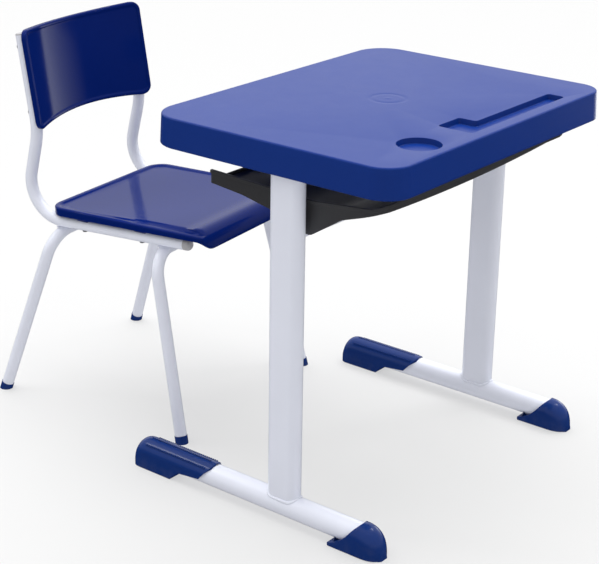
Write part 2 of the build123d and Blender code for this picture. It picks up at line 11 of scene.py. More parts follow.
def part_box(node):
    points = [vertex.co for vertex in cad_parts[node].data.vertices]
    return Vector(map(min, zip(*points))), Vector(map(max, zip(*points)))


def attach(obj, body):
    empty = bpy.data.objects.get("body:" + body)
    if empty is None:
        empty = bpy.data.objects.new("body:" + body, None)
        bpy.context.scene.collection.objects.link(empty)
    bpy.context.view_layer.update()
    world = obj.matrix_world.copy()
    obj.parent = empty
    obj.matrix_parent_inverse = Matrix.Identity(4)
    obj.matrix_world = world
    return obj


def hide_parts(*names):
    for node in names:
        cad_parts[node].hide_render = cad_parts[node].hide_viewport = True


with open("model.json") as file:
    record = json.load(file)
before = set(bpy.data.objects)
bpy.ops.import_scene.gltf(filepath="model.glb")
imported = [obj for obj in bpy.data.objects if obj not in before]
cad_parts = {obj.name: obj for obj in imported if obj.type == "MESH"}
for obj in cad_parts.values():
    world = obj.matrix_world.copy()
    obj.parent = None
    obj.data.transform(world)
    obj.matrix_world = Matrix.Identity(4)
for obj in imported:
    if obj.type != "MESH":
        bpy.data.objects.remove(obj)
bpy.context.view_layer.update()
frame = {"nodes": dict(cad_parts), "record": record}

# Sizes are in millimetres and follow the CAD's. Edges, lips and the tray's profile are drawn finer
# here. The desk's own frame has its origin on the floor under the middle of the desk top: x across
# to the sitter's left, y towards the chair, z up. A side of -1 is the sitter's right, and 1 the left.
MM = 0.001

# ---- desk top ----
TOP_WIDTH, TOP_DEPTH, TOP_HEIGHT = 600.0, 458.0, 616.0
TOP_EDGE, TOP_DRAFT, TOP_ROUND, TOP_WALL = 47.0, 2.4, 3.0, 4.0
TOP_CORNER_FAR, TOP_CORNER_NEAR = 42.0, 56.0
RIB_DEPTH, RIB_PITCH = 10.0, 66.0
RECESS_FLOOR, PAD_WALL = 3.0, 1.6  # under a recess's floor, and outside its wall
CUP_X, CUP_Y, CUP_RADIUS, CUP_DEPTH = -167.0, -180.0, 33.4, 8.5
PEN_DEPTH, PEN_CORNER = 8.5, 6.0
PEN_CORNERS = ((-70, -207), (203, -207), (203, -177), (-11, -177), (-11, -146.5), (-70, -146.5))
GATE_X, GATE_Y, GATE_RADIUS = 10.0, 0.0, 40.0
SIDE_X, COLUMN_Y = 279.0, -31.5
COLUMN_LONG, COLUMN_SHORT = 58.0, 29.0
ARM_RADIUS, ARM_Z = 15.9, 586.1
SCREW_YS = (-115.0, 35.0, 160.0)
WELD_RADIUS, FINE_WELD_RADIUS = 2.3, 2.0

# ---- foot rails and shoes ----
RAIL_Z, RAIL_RADIUS, SHOE_RADIUS = 28.0, 19.05, 21.8
SHOE_REAR, SHOE_FRONT = 272.5, -224.0
SHOE_GRIP = 0.6  # how far a shoe's inside bites into the rail
REAR_FALL, REAR_FALL_FOOT = 28.0, 14.0  # how long the rear end's fall is, and how high it ends
REAR_SWEEP, REAR_NARROWING = 14.0, 10.0  # how long the rounding in plan is, and how much it takes off
TOOTH_ROWS, TOOTH_START, TOOTH_PITCH = (-46, 0, 46), 118.0, 4.2  # rows in degrees from the crest
TOOTH_ACROSS, TOOTH_ALONG = 1.9, 1.15
FRONT_TOE, FRONT_TOE_FOOT = 42.0, 9.0  # how long the toe's rise is, and how high it starts
FRONT_NOSE, FRONT_FLARE = 34.0, 1.2  # how long the rounding in plan is, and how much wider the dome is
FRONT_SLANT = ((-184, RAIL_Z + SHOE_RADIUS), (-177, 42), (-167, 29), (-155, 17), (-142, 10), (-133, 7))
RIGHT_SLIP, LEFT_SLIP = 4.0, -11.0  # how far each rear shoe sits back along its rail

# ---- book tray ----
BAR_TOP = 493.9
TRAY_HALF, TRAY_WALL, TRAY_CORNER = 257.0, 3.0, 20.0
TRAY_REAR, TRAY_FRONT = 136.0, -184.0
TRAY_FLOOR = ((-184, 39), (-130, 27), (-92, 15), (-62, 0), (10, 0), (76, 13), (136, 19))
TRAY_RIM = ((-184, 52), (-168, 44), (-60, 34), (20, 37), (136, 41))
TRAY_UNDER = (
    (-184, 39), (-150, 27), (-112, 15), (-84, -3), (-56, -21), (-8, -21), (20, 2), (76, 13), (136, 19)
)

# ---- chair ----
CHAIR_X, CHAIR_Y, CHAIR_TURN = -16.5, 486.3, 6.27
TUBE_RADIUS, FRAME_X = 10.35, 145.0
STILE_TOP, KNEE, HEEL, SEAT_RAIL_END = (164.3, 654.0), (137.6, 488.0), (176.5, 328.5), (-175.0, 343.0)
SEAT_HALF, SEAT_REAR, SEAT_CREST, SEAT_ABOVE_RAIL = 159.5, 113.0, -196.0, 27.5
SEAT_NOSE, SEAT_NOSE_SWEEP = 32.0, 85.0
SEAT_SKIRT, SEAT_CORNER, SEAT_FRONT_CORNER, SEAT_RIVET_YS = 15.0, 34.0, 26.0, (40.0, -85.0)
BACK_HALF, BACK_HEIGHT, BACK_BEND, BACK_SKIN, BACK_LIP = 159.5, 176.0, 430.0, 4.5, 5.0
BACK_ARCH, BACK_CORNER_LOW, BACK_CORNER_HIGH = 14.0, 20.0, 17.0
SHELL_SKIN_INSET = 2.8  # the thickness of both shells' skirts

desk_low, desk_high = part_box("desk_top")
DESK_PLACE = np.array(((desk_low.x + desk_high.x) / 2, (desk_low.y + desk_high.y) / 2, 0.0))


def from_desk(points):
    """Desk points in millimetres, as points of the scene."""
    return np.asarray(points, float) * MM + DESK_PLACE


def from_chair(points):
    """Chair points in millimetres, as points of the scene: the chair stands turned behind the desk."""
    x, y, z = np.asarray(points, float).T
    turn = radians(CHAIR_TURN)
    turned = (x * cos(turn) - y * sin(turn) + CHAIR_X, x * sin(turn) + y * cos(turn) + CHAIR_Y, z)
    return from_desk(np.stack(turned, axis=1))


# ---- materials ----
class Nodes:
    """A short way to build a shader's node tree."""

    def __init__(self, tree):
        self.tree = tree

    def add(self, kind, **settings):
        node = self.tree.nodes.new(kind)
        for key, value in settings.items():
            if key in node.inputs:
                node.inputs[key].default_value = value
            else:
                setattr(node, key, value)
        return node

    def link(self, source, target):
        self.tree.links.new(source, target)

    def noise(self, place, scale, detail=3.0, roughness=0.55):
        node = self.add("ShaderNodeTexNoise", Scale=scale, Detail=detail, Roughness=roughness)
        self.link(place, node.inputs["Vector"])
        return node.outputs["Fac"]

    def spread(self, value, low, high, from_low=0.3, from_high=0.7):
        """Maps a noise value to the range from low to high."""
        node = self.tree.nodes.new("ShaderNodeMapRange")
        node.inputs["From Min"].default_value = from_low
        node.inputs["From Max"].default_value = from_high
        node.inputs["To Min"].default_value = low
        node.inputs["To Max"].default_value = high
        self.link(value, node.inputs["Value"])
        return node.outputs["Result"]

    def blend(self, value, first, second):
        """Mixes two colours by a value. Either may be a colour or another node's output."""
        node = self.tree.nodes.new("ShaderNodeMix")
        node.data_type = "RGBA"
        self.link(value, node.inputs["Factor"])
        colour_a, colour_b = node.inputs[6], node.inputs[7]
        for socket, colour in ((colour_a, first), (colour_b, second)):
            if isinstance(colour, tuple):
                socket.default_value = (*colour, 1)
            else:
                self.link(colour, socket)
        return node.outputs[2]

    def bump(self, height, strength, distance, normal=None):
        node = self.add("ShaderNodeBump", Strength=strength, Distance=distance)
        self.link(height, node.inputs["Height"])
        if normal is not None:
            self.link(normal, node.inputs["Normal"])
        return node.outputs["Normal"]


def tint(colour, factor):
    return tuple(min(1.0, channel * factor) for channel in colour)


def new_material(name, **settings):
    """A material, its nodes, its shader with the given settings, and the object's own coordinates."""
    material = bpy.data.materials.new(name)
    material.use_nodes = True
    nodes = Nodes(material.node_tree)
    shader = material.node_tree.nodes["Principled BSDF"]
    for key, value in settings.items():
        shader.inputs[key.replace("_", " ")].default_value = value
    return material, nodes, shader, nodes.add("ShaderNodeTexCoord").outputs["Object"]


def moulded(name, colour, roughness, grain, variation, specular=0.5, ior=1.5, dust=0.0, waves=0.0):
    """Moulded plastic: fine grain, a slightly uneven colour and gloss, soft sink waves, and dust low down."""
    material, nodes, shader, place = new_material(name, Specular_IOR_Level=specular, IOR=ior)
    clouds = nodes.noise(place, 9.0, 4.0)
    flow = nodes.spread(clouds, 0.0, 1.0)
    shade = nodes.blend(flow, tint(colour, 1 - variation), tint(colour, 1 + variation))
    specks = nodes.noise(place, 900.0, 2.0)
    fleck = nodes.spread(specks, 0.0, 0.35, 0.45, 0.75)
    shade = nodes.blend(fleck, shade, tint(colour, 1.35))
    if dust:
        height = nodes.add("ShaderNodeSeparateXYZ")
        nodes.link(place, height.inputs["Vector"])
        low = nodes.spread(height.outputs["Z"], dust, 0.0, 0.0, 0.03)
        patches = nodes.spread(nodes.noise(place, 60.0, 5.0), 0.0, 1.0, 0.4, 0.65)
        both = nodes.add("ShaderNodeMath", operation="MULTIPLY")
        nodes.link(low, both.inputs[0])
        nodes.link(patches, both.inputs[1])
        shade = nodes.blend(both.outputs[0], shade, (0.30, 0.29, 0.27))
    nodes.link(shade, shader.inputs["Base Color"])
    gloss = nodes.noise(place, 35.0, 4.0)
    nodes.link(nodes.spread(gloss, roughness * 0.97, roughness * 1.03), shader.inputs["Roughness"])
    normal = None
    if waves:
        normal = nodes.bump(nodes.noise(place, 14.0, 1.0), 1.0, waves)
    fine = nodes.noise(place, 1400.0, 3.0, 0.6)
    nodes.link(nodes.bump(fine, grain, 0.0002, normal), shader.inputs["Normal"])
    return material


def painted(name, colour, roughness):
    """Powder coat on steel: soft orange peel, and faint clouds and specks in the colour."""
    material, nodes, shader, place = new_material(name, Coat_Weight=0.25, Coat_Roughness=0.15)
    clouds = nodes.spread(nodes.noise(place, 12.0, 4.0), 0.0, 1.0)
    shade = nodes.blend(clouds, tint(colour, 0.985), tint(colour, 1.01))
    specks = nodes.spread(nodes.noise(place, 1300.0, 2.0), 0.0, 0.1, 0.60, 0.80)
    shade = nodes.blend(specks, shade, tint(colour, 0.90))
    nodes.link(shade, shader.inputs["Base Color"])
    gloss = nodes.noise(place, 40.0, 3.0)
    nodes.link(nodes.spread(gloss, roughness * 0.95, roughness * 1.05), shader.inputs["Roughness"])
    peel = nodes.noise(place, 600.0, 1.5)
    nodes.link(nodes.bump(peel, 0.03, 0.0002), shader.inputs["Normal"])
    return material


def metallic(name, colour, roughness, stretch=(1.0, 1.0, 1.0)):
    """Bare or plated metal: a rolled or pressed surface with stained patches."""
    material, nodes, shader, place = new_material(name, Metallic=1.0)
    mapping = nodes.add("ShaderNodeMapping", Scale=stretch)
    nodes.link(place, mapping.inputs["Vector"])
    stains = nodes.spread(nodes.noise(place, 160.0, 4.0), 0.0, 1.0)
    nodes.link(nodes.blend(stains, tint(colour, 0.75), tint(colour, 1.1)), shader.inputs["Base Color"])
    scratches = nodes.noise(mapping.outputs["Vector"], 900.0, 4.0)
    nodes.link(nodes.spread(scratches, roughness * 0.7, roughness * 1.3), shader.inputs["Roughness"])
    nodes.link(nodes.bump(scratches, 0.3, 0.0001), shader.inputs["Normal"])
    return material


DESK_BLUE, CHAIR_BLUE = (0.0025, 0.0265, 0.195), (0.0020, 0.0120, 0.120)
SHOE_BLUE = (0.0045, 0.0270, 0.155)
TRAY_BLACK, PLUG_GREY, PAINT_WHITE = (0.042, 0.042, 0.046), (0.42, 0.415, 0.43), (0.80, 0.823, 0.925)
RIVET_GREY, BRASS, STEEL = (0.55, 0.55, 0.57), (0.80, 0.60, 0.30), (0.60, 0.60, 0.60)
THREAD_STRETCH = (1.0, 1.0, 6.0)
MATERIALS = {
    "desk_shell": moulded("desk_shell", DESK_BLUE, 0.34, 0.20, 0.02, specular=0.20, waves=0.0001),
    "chair_shell": moulded("chair_shell", CHAIR_BLUE, 0.10, 0.05, 0.02, specular=0.17, ior=1.3, waves=0.0001),
    "shoe_plastic": moulded("shoe_plastic", SHOE_BLUE, 0.23, 0.14, 0.04, specular=0.30, dust=0.06),
    "tray_plastic": moulded("tray_plastic", TRAY_BLACK, 0.42, 0.45, 0.12),
    "frame_paint": painted("frame_paint", PAINT_WHITE, 0.30),
    "plug_plastic": moulded("plug_plastic", PLUG_GREY, 0.40, 0.25, 0.04),
    "rivet_metal": metallic("rivet_metal", RIVET_GREY, 0.35),
    "insert_brass": metallic("insert_brass", BRASS, 0.30, THREAD_STRETCH),
    "screw_steel": metallic("screw_steel", STEEL, 0.35, THREAD_STRETCH),
}
node_slots = {part["node"]: part["material_slot"] for part in frame["record"]["subparts"]}
for name, node in frame["nodes"].items():
    node.data.materials.clear()
    node.data.materials.append(MATERIALS[node_slots[name]])


# ---- mesh building ----
class Shape:
    """Points and faces gathered from several lofts and patches, for one mesh."""

    def __init__(self):
        self.points = []
        self.faces = []

    def add(self, points, faces):
        start = len(self.points)
        self.points.extend(tuple(point) for point in points)
        self.faces.extend(tuple(start + index for index in face) for face in faces)

    def cap(self, ring):
        self.add(ring, [tuple(range(len(ring)))])

    def loft(self, rings, closed=True, caps=False):
        """Faces between neighbouring rings of equally many points."""
        count = len(rings[0])
        sides = count if closed else count - 1
        faces = []
        for row in range(len(rings) - 1):
            for column in range(sides):
                following = (column + 1) % count
                low, high = row * count, (row + 1) * count
                faces.append((low + column, low + following, high + following, high + column))
        if caps:
            last = (len(rings) - 1) * count
            faces.append(tuple(range(count)))
            faces.append(tuple(range(last, last + count)))
        self.add([point for ring in rings for point in ring], faces)

    def box_of(self, corners_low, corners_high):
        """A closed prism between two outlines of equally many points."""
        self.loft([corners_low, corners_high], caps=True)


def add_piece(name, shape, place, body, slot, replaced=(), sharp=38, merge=0.01):
    """Makes a smooth-shaded object from a shape, in the scene's frame, and puts it on its body."""
    mesh = bpy.data.meshes.new(name)
    mesh.from_pydata([tuple(point) for point in place(shape.points)], [], shape.faces)
    work = bmesh.new()
    work.from_mesh(mesh)
    bmesh.ops.remove_doubles(work, verts=work.verts, dist=merge * MM)
    bmesh.ops.recalc_face_normals(work, faces=work.faces)
    for face in work.faces:
        face.smooth = True
    work.to_mesh(mesh)
    work.free()
    mesh.set_sharp_from_angle(angle=radians(sharp))
    mesh.materials.append(MATERIALS[slot])
    obj = bpy.data.objects.new(name, mesh)
    bpy.context.scene.collection.objects.link(obj)
    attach(obj, body)
    if replaced:
        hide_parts(*replaced)
    return obj


def rounded_outline(corners, radii, grow=0.0, steps=8):
    """An anticlockwise polygon with rounded corners, drawn out by grow, always with as many points."""
    corners = [np.asarray(corner, float) for corner in corners]
    outline = []
    for index, corner in enumerate(corners):
        before = corner - corners[index - 1]
        after = corners[(index + 1) % len(corners)] - corner
        before, after = before / np.linalg.norm(before), after / np.linalg.norm(after)
        turn = atan2(before[0] * after[1] - before[1] * after[0], before @ after)
        side = 1 if turn > 0 else -1
        inward = np.array((-before[1], before[0])) * side
        radius = radii[index]
        centre = corner - before * radius * tan(abs(turn) / 2) + inward * radius
        reach = max(radius + grow * side, 0.05)
        for step in range(steps + 1):
            angle = turn * step / steps
            x = -inward[0] * cos(angle) + inward[1] * sin(angle)
            y = -inward[0] * sin(angle) - inward[1] * cos(angle)
            outline.append((centre[0] + x * reach, centre[1] + y * reach))
    return outline


def circle_outline(x, y, radius, steps=72):
    turns = [2 * pi * k / steps for k in range(steps)]
    return [(x + radius * cos(turn), y + radius * sin(turn)) for turn in turns]


def is_inside(point, outline):
    """Whether a point lies inside a closed outline in the plane."""
    x, y = point
    inside = False
    for (x0, y0), (x1, y1) in zip(outline, outline[1:] + outline[:1]):
        if (y0 > y) != (y1 > y) and x < (x1 - x0) * (y - y0) / (y1 - y0) + x0:
            inside = not inside
    return inside


def patch(outline, holes=(), pitch=0.0):
    """Triangles that fill an outline round its holes, with a grid of points inside when pitch isn't zero."""
    points, edges = [], []
    for loop in (outline, *holes):
        start = len(points)
        points.extend(loop)
        edges.extend((start + k, start + (k + 1) % len(loop)) for k in range(len(loop)))
    if pitch:
        low, high = np.min(outline, axis=0), np.max(outline, axis=0)
        rim = np.asarray(outline)
        for x in np.arange(low[0] + pitch / 2, high[0], pitch):
            for y in np.arange(low[1] + pitch / 2, high[1], pitch):
                gap = np.min(np.hypot(rim[:, 0] - x, rim[:, 1] - y))
                if gap > pitch * 0.45 and is_inside((x, y), outline):
                    points.append((x, y))
    flat = [Vector(point) for point in points]
    made, _, faces, *_ = delaunay_2d_cdt(flat, edges, [], 1, 1e-5)
    kept = []
    for face in faces:
        middle = sum((made[index] for index in face), Vector((0, 0))) / len(face)
        if not any(is_inside(middle, list(hole)) for hole in holes):
            kept.append(tuple(face))
    return [tuple(point) for point in made], kept


def line_value(points, at):
    """Height of a polyline at a position."""
    xs, ys = zip(*points)
    return float(np.interp(at, xs, ys))


def smooth_value(points, at, span=7.0):
    """Height of a polyline at a position, averaged over a short span so its corners are eased."""
    offsets = np.linspace(-span, span, 9)
    xs, ys = zip(*points)
    return float(np.mean(np.interp(at + offsets, xs, ys)))


def even_points(line, count):
    """Points evenly spaced along a line in the plane."""
    line = np.array(line)
    steps = np.r_[0, np.cumsum(np.hypot(*np.diff(line, axis=0).T))]
    if steps[-1] < 1e-6:
        return [tuple(line[0])] * count
    at = np.linspace(0, steps[-1], count)
    return list(zip(np.interp(at, steps, line[:, 0]), np.interp(at, steps, line[:, 1])))


def in_plan(ring):
    return [(x, y) for x, y, _ in ring]


def ease(value, low, high):
    """0 below low, 1 above high, and smooth between."""
    share = min(1.0, max(0.0, (value - low) / (high - low)))
    return share * share * (3 - 2 * share)


# ---- desk top ----
def top_outline(grow):
    x, y = TOP_WIDTH / 2, TOP_DEPTH / 2
    corners = ((-x, -y), (x, -y), (x, y), (-x, y))
    radii = (TOP_CORNER_FAR, TOP_CORNER_FAR, TOP_CORNER_NEAR, TOP_CORNER_NEAR)
    return rounded_outline(corners, radii, grow, 20)


def lean(z):
    """How far the drafted skirt has spread at height z."""
    return TOP_DRAFT * (TOP_HEIGHT - z) / TOP_EDGE


def at_height(outline, z):
    return [(x, y, z) for x, y in outline]


def recess_rings(outline, depth, lip=0.7, draft=2.0, cove=0.9):
    """Rings from a recess's rounded lip down its drafted wall and round its cove to the floor."""
    profile = [(lip * (1 - sin(a)), lip * (1 - cos(a))) for a in np.linspace(0, pi / 2, 6)]
    for a in np.linspace(0, pi / 2, 6):
        profile.append((-draft - cove * (1 - cos(a)), depth - cove + cove * sin(a)))
    profile.append((-draft - cove - 0.8, depth))
    return [at_height(outline(grow), TOP_HEIGHT - drop) for grow, drop in profile]


def recess_pad(outline, depth):
    """Rings down the outside of a recess, from the panel's underside to the foot of its floor."""
    panel, low = TOP_HEIGHT - TOP_WALL, TOP_HEIGHT - depth - RECESS_FLOOR
    profile = (
        (PAD_WALL + 2.0, panel),
        (PAD_WALL + 1.4, panel - 1.0),
        (PAD_WALL + 1.0, low + 1.0),
        (PAD_WALL, low),
    )
    return [at_height(outline(grow), z) for grow, z in profile]


def pen_outline(grow):
    return rounded_outline(PEN_CORNERS, [PEN_CORNER] * 6, grow, 6)


def cup_outline(grow):
    return circle_outline(CUP_X, CUP_Y, CUP_RADIUS + grow)


def gate_drop(radius):
    """Depth of the faint ring that the mould's gate leaves, with a low button in its middle."""
    ring = 0.55 * np.exp(-(((radius - 27.0) / 4.5) ** 2))
    button = 0.45 * np.exp(-((radius / 5.0) ** 2))
    return ring - button


def gate_rings():
    radii = np.linspace(GATE_RADIUS, 1.0, 40)
    rings = [at_height(circle_outline(GATE_X, GATE_Y, r), TOP_HEIGHT - gate_drop(r)) for r in radii]
    rings[0] = at_height(circle_outline(GATE_X, GATE_Y, GATE_RADIUS), TOP_HEIGHT)
    return rings


def skirt_profile():
    """The skirt's section, as spread and height: up its inside, round its foot, up its outside to the top."""
    low, panel, shoulder = TOP_HEIGHT - TOP_EDGE, TOP_HEIGHT - TOP_WALL, TOP_HEIGHT - TOP_ROUND
    inside, foot = 1.5, 1.3  # roundings in the panel's inner corner and at the skirt's foot
    profile = [(lean(panel) - TOP_WALL - 6.0, panel), (lean(panel) - TOP_WALL - inside, panel)]
    profile.append((lean(panel) - TOP_WALL, panel - inside))
    profile.append((lean(low) - TOP_WALL, low + 1.0))
    profile.append((lean(low) - TOP_WALL + 0.8, low))
    for a in np.linspace(0, pi / 2, 5):
        profile.append((lean(low) - foot + foot * sin(a), low + foot - foot * cos(a)))
    profile.extend((lean(z), z) for z in np.linspace(low + 6, shoulder, 5))
    for a in np.linspace(0.15, pi / 2, 9):
        spread = lean(shoulder) * (1 - a / (pi / 2)) - TOP_ROUND * (1 - cos(a))
        profile.append((spread, TOP_HEIGHT - TOP_ROUND * (1 - sin(a))))
    profile.append((-TOP_ROUND - 3.0, TOP_HEIGHT))
    return profile


def make_desk_top():
    """The desk top: its skirt, the face above and the panel below, both open where the recesses are."""
    shape = Shape()
    rings = [at_height(top_outline(grow), z) for grow, z in skirt_profile()]
    shape.loft(rings)
    hollows = [recess_rings(cup_outline, CUP_DEPTH), recess_rings(pen_outline, PEN_DEPTH), gate_rings()]
    pads = [recess_pad(cup_outline, CUP_DEPTH), recess_pad(pen_outline, PEN_DEPTH)]
    for edge, openings in ((rings[-1], hollows), (rings[0], pads)):
        points, faces = patch(in_plan(edge), [in_plan(opening[0]) for opening in openings])
        shape.add(at_height(points, edge[0][2]), faces)
        for opening in openings:
            shape.loft(opening)
            shape.cap(opening[-1])
    add_piece("desk_top_shell", shape, from_desk, "desk", "desk_shell", ["desk_top"], sharp=50)


def make_top_ribs():
    """The ribs and screw bosses under the desk top, in one lattice."""
    shape = Shape()
    panel = TOP_HEIGHT - TOP_WALL
    tip = panel - RIB_DEPTH
    root = panel + 0.2
    half_section = ((2.3, root), (1.45, panel - 1.4), (1.1, tip + 0.5), (0.7, tip))
    section = list(half_section) + [(-x, z) for x, z in reversed(half_section)]
    reach_x, reach_y = TOP_WIDTH / 2 - TOP_WALL + 0.6, TOP_DEPTH / 2 - TOP_WALL + 0.6
    recesses = [cup_outline(2.0), pen_outline(2.0)]

    def rib(start, end):
        """One rib in the lengths that are left between the recesses."""
        start, end = np.array(start), np.array(end)
        along = (end - start) / np.linalg.norm(end - start)
        across = np.array((-along[1], along[0]))
        places = [start + (end - start) * share for share in np.linspace(0, 1, 241)]
        clear = [not any(is_inside(point, recess) for recess in recesses) for point in places]
        first = None
        for index in range(len(places) + 1):
            if index < len(places) and clear[index]:
                first = index if first is None else first
            elif first is not None:
                ends = (places[first], places[index - 1])
                shape.box_of(*[[(*(point + across * w), z) for w, z in section] for point in ends])
                first = None

    for step in range(-4, 5):
        reach = reach_y - (18 if abs(step) == 4 else 0)
        rib((step * RIB_PITCH, -reach), (step * RIB_PITCH, reach))
    for step in range(-3, 4):
        reach = reach_x - (7 if abs(step) == 3 else 0)
        rib((-reach, step * RIB_PITCH), (reach, step * RIB_PITCH))
    outside = ((9.2, root), (8.2, panel - 1.6), (7.9, tip + 0.6), (7.3, tip))
    bore = ((5.0, tip), (4.5, tip + 0.5), (4.5, tip + 9.0))
    for x in (-SIDE_X, SIDE_X):
        for y in SCREW_YS:
            rings = [at_height(circle_outline(x, y, r, 32), z) for r, z in outside + bore]
            shape.loft(rings)
            shape.cap(rings[-1])
    add_piece("desk_top_ribs", shape, from_desk, "desk", "desk_shell", sharp=30)


# ---- welds of the desk ----
def bead(shape, path, radius, ripples):
    """A weld bead along a closed path: a round cord with the ripples that the weld pool leaves."""
    path = np.asarray(path, float)
    count = len(path)
    rings = []
    for k in range(count):
        tangent = path[(k + 1) % count] - path[k - 1]
        tangent /= np.linalg.norm(tangent)
        guide = np.array((0.31, 0.17, 0.94)) if abs(tangent[2]) < 0.8 else np.array((0.94, 0.31, 0.17))
        side = np.cross(tangent, guide)
        side /= np.linalg.norm(side)
        up = np.cross(side, tangent)
        turn = 2 * pi * k / count
        swell = 0.16 * sin(3 * turn + 1.0) + 0.08 * sin(7 * turn)
        size = radius * (1 + 0.10 * abs(sin(ripples * turn / 2)) + swell)
        around = np.linspace(0, 2 * pi, 11)[:-1]
        rings.append([path[k] + (side * cos(a) + up * sin(a)) * size for a in around])
    shape.loft([*rings, rings[0]])


def oblong_path(steps=160):
    """Points round the column's outside, from its middle."""
    radius, straight = COLUMN_SHORT / 2, COLUMN_LONG - COLUMN_SHORT
    around = 2 * straight + 2 * pi * radius
    points = []
    for k in range(steps):
        run = around * k / steps
        if run < straight:
            points.append((radius, run - straight / 2))
        elif run < straight + pi * radius:
            a = (run - straight) / radius
            points.append((radius * cos(a), straight / 2 + radius * sin(a)))
        elif run < 2 * straight + pi * radius:
            points.append((-radius, straight / 2 - (run - straight - pi * radius)))
        else:
            a = (run - 2 * straight - pi * radius) / radius
            points.append((-radius * cos(a), -straight / 2 - radius * sin(a)))
    return points


def make_column_beads(side):
    shape = Shape()
    collar = [(x, y, RAIL_Z + sqrt(RAIL_RADIUS**2 - x**2)) for x, y in oblong_path()]
    crown = [(x, y, ARM_Z - sqrt(ARM_RADIUS**2 - x**2)) for x, y in oblong_path()]
    for path, radius in ((collar, WELD_RADIUS), (crown, FINE_WELD_RADIUS)):
        bead(shape, [(side * SIDE_X + x, COLUMN_Y + y, z) for x, y, z in path], radius, 54)
    face = side * (SIDE_X - COLUMN_SHORT / 2)
    ring = [(face, COLUMN_Y + y, z) for y, z in circle_outline(0, BAR_TOP - ARM_RADIUS, ARM_RADIUS, 96)]
    bead(shape, ring, FINE_WELD_RADIUS, 40)
    hand = "right" if side < 0 else "left"
    replaced = [f"desk_column_welds_{hand}"]
    add_piece(f"desk_column_beads_{hand}", shape, from_desk, "desk", "frame_paint", replaced)


# ---- shoes ----
def arch_points(half, height, low, count, foot=1.2):
    """Points from one lower corner of an arch over its top to the other, evenly spaced along it."""
    bend = min(SHOE_RADIUS, height)
    spring = height - bend
    line = []
    if low < spring:
        foot = min(foot, (spring - low) / 2, half / 2)
        turn = np.linspace(0, pi / 2, 6)
        line.extend((half - foot + foot * sin(a), low + foot - foot * cos(a)) for a in turn)
        line.append((half, spring))
        start = 0.0
    else:
        start = asin(min(1.0, (low - spring) / bend))
    line.extend((half * cos(a), spring + bend * sin(a)) for a in np.linspace(start, pi / 2, 40))
    line.extend([(-x, z) for x, z in reversed(line[:-1])])
    return even_points(line, count)


def rail_hug(angle):
    """A point just inside the rail's surface, where a shoe grips it."""
    radius = RAIL_RADIUS - SHOE_GRIP
    return radius * cos(angle), RAIL_Z + radius * sin(angle)


def on_side(points, side, y):
    """Points of a shoe's section on the rail of one side: the left one is the right one mirrored."""
    return [(side * (SIDE_X - x), y, z) for x, z in points]


def rear_shoe_station(y):
    """Half-width, top height and lower edge of the rear shoe at y."""
    top = RAIL_Z + SHOE_RADIUS
    fall = max(0.0, y - (SHOE_REAR - REAR_FALL)) / REAR_FALL
    height = REAR_FALL_FOOT + (top - REAR_FALL_FOOT) * max(0.0, 1 - fall**2.6) ** 0.45
    sweep = max(0.0, y - (SHOE_REAR - REAR_SWEEP)) / REAR_SWEEP
    half = SHOE_RADIUS - REAR_NARROWING + REAR_NARROWING * sqrt(max(0.0, 1 - sweep**2.4))
    low = line_value(((104, top), (127, 22), (172, 17), (178, 14), (190, 0)), y)
    return half, height, low


def grip_tooth(shape, x, y, z, tilt):
    """One small ridge of the grip on a rear shoe."""
    rings = []
    for rise, shrink in ((-0.5, 1.1), (1.4, 0.95), (1.9, 0.5)):
        ring = []
        for k in range(8):
            a = 2 * pi * k / 8
            across, along = TOOTH_ACROSS * shrink * cos(a), TOOTH_ALONG * shrink * sin(a)
            sideways = across * cos(tilt) - rise * sin(tilt)
            upwards = across * sin(tilt) + rise * cos(tilt)
            ring.append((x + sideways, y + along, z + upwards))
        rings.append(ring)
    shape.loft(rings, caps=True)


def rear_shoe_hollow(y, low, start, end, count):
    """The underside of the rear shoe at y: round the rail where it's a cover, and flat where it's a sole."""
    share = 1 - ease(y, 176, 189)
    first = atan2(max(low, 8.0) - RAIL_Z, -RAIL_RADIUS) % (2 * pi)
    last = (pi - first) % (2 * pi)
    over_top = ((last - first) + pi) % (2 * pi) - pi
    hollow = []
    for t in np.linspace(0, 1, count):
        flat = (start[0] + (end[0] - start[0]) * t, start[1] + (end[1] - start[1]) * t)
        hug = rail_hug(first + over_top * t if low > RAIL_Z else pi - pi * t)
        hollow.append((flat[0] * (1 - share) + hug[0] * share, flat[1] * (1 - share) + hug[1] * share))
    return hollow


def make_rear_shoe(hand, side, slip):
    """A rear shoe with its rows of grip teeth, slipped along the rail."""
    shape = Shape()
    cover = np.r_[np.linspace(104, 127, 14), np.linspace(130, 172, 12), np.linspace(173, 190, 12)]
    sole = np.r_[190.6, np.linspace(196, SHOE_REAR - 32, 8)]
    heel = SHOE_REAR - 30 * np.cos(np.linspace(0, pi / 2, 18))
    rings = []
    for y in np.r_[cover, sole, heel]:
        half, height, low = rear_shoe_station(y)
        outer = arch_points(half, height, low, 61)
        inner = rear_shoe_hollow(y, low, outer[-1], outer[0], 13)
        rings.append(on_side(outer + inner, side, y + slip))
    shape.loft(rings)
    shape.cap(rings[-1])
    for row in TOOTH_ROWS:
        angle = pi / 2 + radians(row)
        x, z = SHOE_RADIUS * cos(angle), RAIL_Z + SHOE_RADIUS * sin(angle)
        for y in np.arange(TOOTH_START, SHOE_REAR - 27, TOOTH_PITCH):
            grip_tooth(shape, side * (SIDE_X - x), y + slip, z, side * (pi / 2 - angle))
    name = f"desk_rear_shoe_cover_{hand}"
    add_piece(name, shape, from_desk, "desk", "shoe_plastic", [f"desk_rear_shoe_{hand}"], sharp=42)


